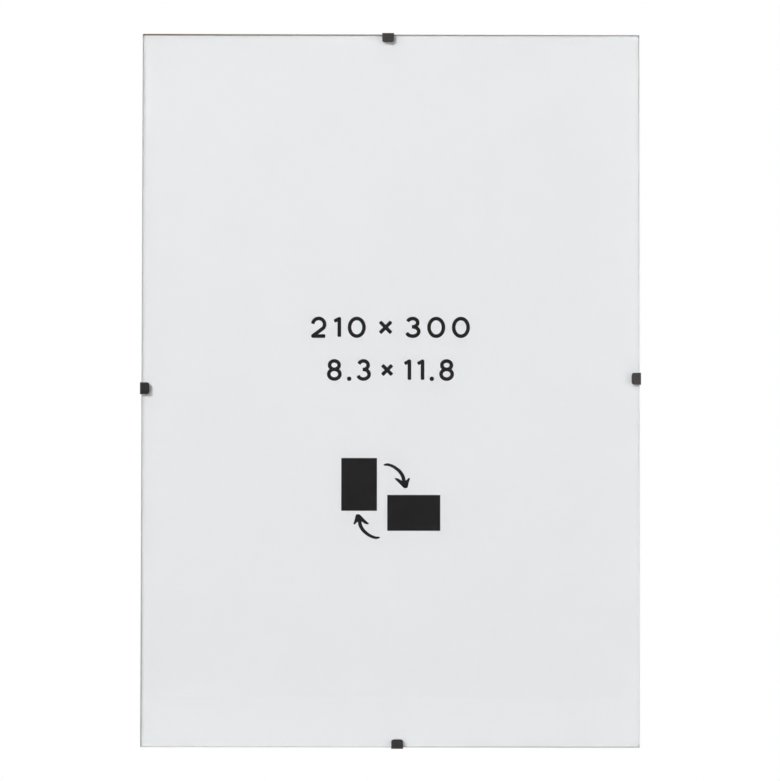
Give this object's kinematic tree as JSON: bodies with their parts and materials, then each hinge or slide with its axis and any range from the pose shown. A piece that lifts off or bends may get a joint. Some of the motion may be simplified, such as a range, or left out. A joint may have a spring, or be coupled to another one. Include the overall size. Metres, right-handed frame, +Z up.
{
  "type": "clip frame",
  "caption": "Frameless wall picture holder: a glass pane, a printed sheet and a hardboard back held by sliding spring clips, with folding ring hangers on the back.",
  "frame": {"origin": "axis of the wall nail under the tip of the upright hanging ring, where it meets the board's back face", "axes": "+Z up as hung upright, +X to the right seen from the glass side, -Y out of the glass towards the viewer, +Y towards the wall"},
  "size_m": [0.211, 0.008, 0.3016],
  "materials": {
    "glass": "clear float glass, 2 mm, with seamed edges",
    "printed_sheet": "smooth white paper with near-black print",
    "hardboard": "brown hardboard, smooth on the front and mesh-textured on the back",
    "clip_steel": "black lacquered spring steel, satin",
    "plated_steel": "bright nickel plate",
    "rivet_metal": "plated tubular rivet"
  },
  "bodies": {
    "frame": {"backing_board": "hardboard", "insert_sheet": "printed_sheet", "glass_pane": "glass", "portrait_strap": "plated_steel", "portrait_rivet": "rivet_metal", "landscape_strap": "plated_steel", "landscape_rivet": "rivet_metal"},
    "clip_top": {"clip_top": "clip_steel"},
    "clip_bottom": {"clip_bottom": "clip_steel"},
    "clip_left": {"clip_left": "clip_steel"},
    "clip_right": {"clip_right": "clip_steel"},
    "portrait_ring": {"portrait_ring": "plated_steel"},
    "landscape_ring": {"landscape_ring": "plated_steel"}
  },
  "joints": [
    {"name": "clip_top_slide", "type": "slide", "parent": "frame", "child": "clip_top", "axis": [0, 0, 1], "range_m": [0, 0.0048]},
    {"name": "clip_bottom_slide", "type": "slide", "parent": "frame", "child": "clip_bottom", "axis": [0, 0, -1], "range_m": [0, 0.0048]},
    {"name": "clip_left_slide", "type": "slide", "parent": "frame", "child": "clip_left", "axis": [-1, 0, 0], "range_m": [0, 0.0048]},
    {"name": "clip_right_slide", "type": "slide", "parent": "frame", "child": "clip_right", "axis": [1, 0, 0], "range_m": [0, 0.0048]},
    {"name": "portrait_ring_swing", "type": "hinge", "parent": "frame", "child": "portrait_ring", "pos_m": [0, 0.0013, -0.01074], "axis": [-1, 0, 0], "range_deg": [0, 176]},
    {"name": "landscape_ring_swing", "type": "hinge", "parent": "frame", "child": "landscape_ring", "pos_m": [-0.059, 0.0013, -0.11499], "axis": [0, 0, -1], "range_deg": [0, 176]}
  ]
}
